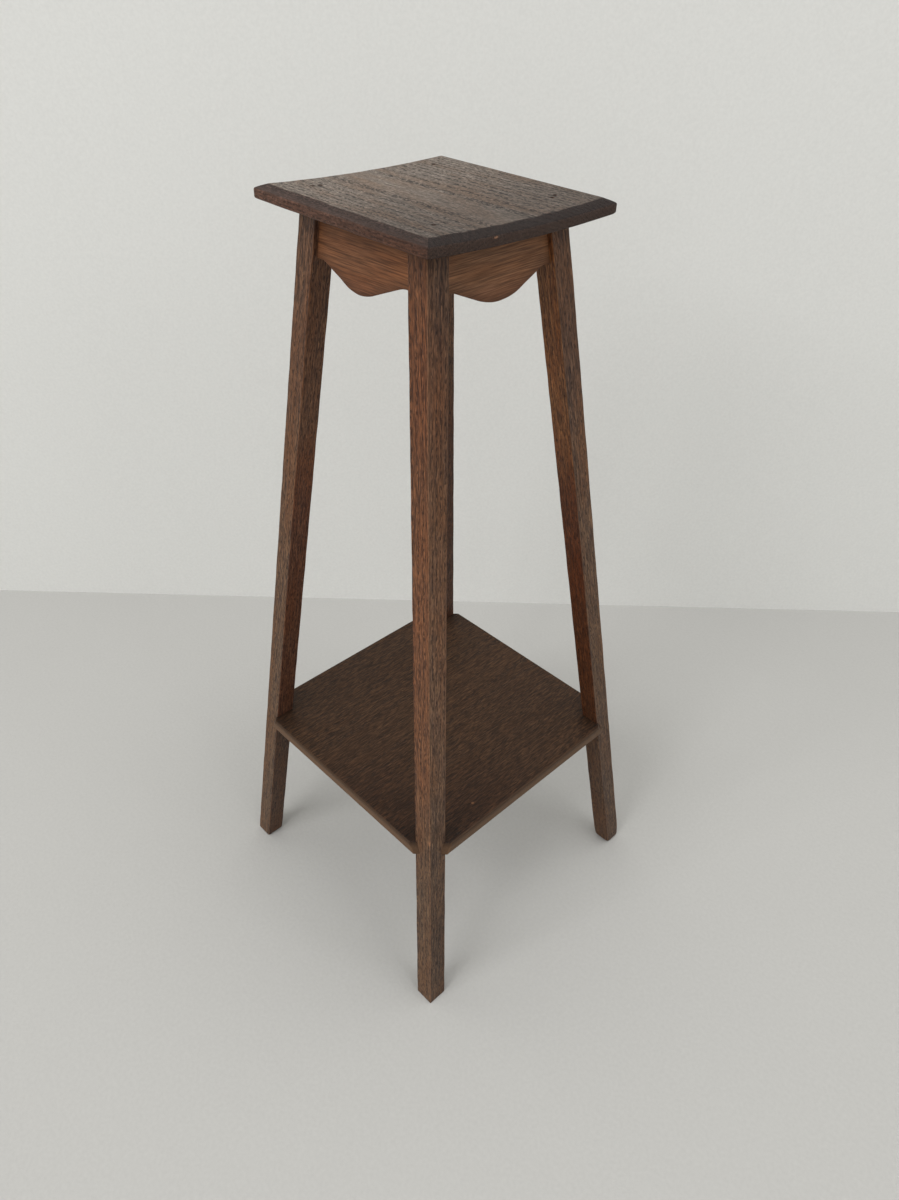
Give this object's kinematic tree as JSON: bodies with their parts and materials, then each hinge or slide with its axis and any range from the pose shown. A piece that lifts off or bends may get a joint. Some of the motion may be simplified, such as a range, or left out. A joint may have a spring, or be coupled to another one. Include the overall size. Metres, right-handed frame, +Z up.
{
  "type": "bonsai stand",
  "caption": "Tall slender wooden stand for a potted bonsai: splayed square legs, small bevelled square top, shaped aprons and a lower shelf let into the legs.",
  "frame": {"origin": "on the floor, midway between the four feet", "axes": "+Z up along the stand's height, -Y towards the front, +X to the right of the front"},
  "size_m": [0.256, 0.256, 0.6039],
  "materials": {
    "top_wood": "weathered dark-stained oak, worn matt, with fine open grain",
    "leg_wood": "brown-stained oak, satin",
    "apron_wood": "warm brown-stained oak, satin",
    "shelf_wood": "dark-stained oak, satin, with lighter worn edges",
    "pin_steel": "darkened steel"
  },
  "bodies": {
    "root": {"top_board": "top_wood", "leg_front_left": "leg_wood", "leg_front_right": "leg_wood", "leg_back_right": "leg_wood", "leg_back_left": "leg_wood", "apron_front": "apron_wood", "apron_right": "apron_wood", "apron_back": "apron_wood", "apron_left": "apron_wood", "lower_shelf": "shelf_wood", "top_pins": "pin_steel", "shelf_pins": "pin_steel"}
  },
  "joints": []
}
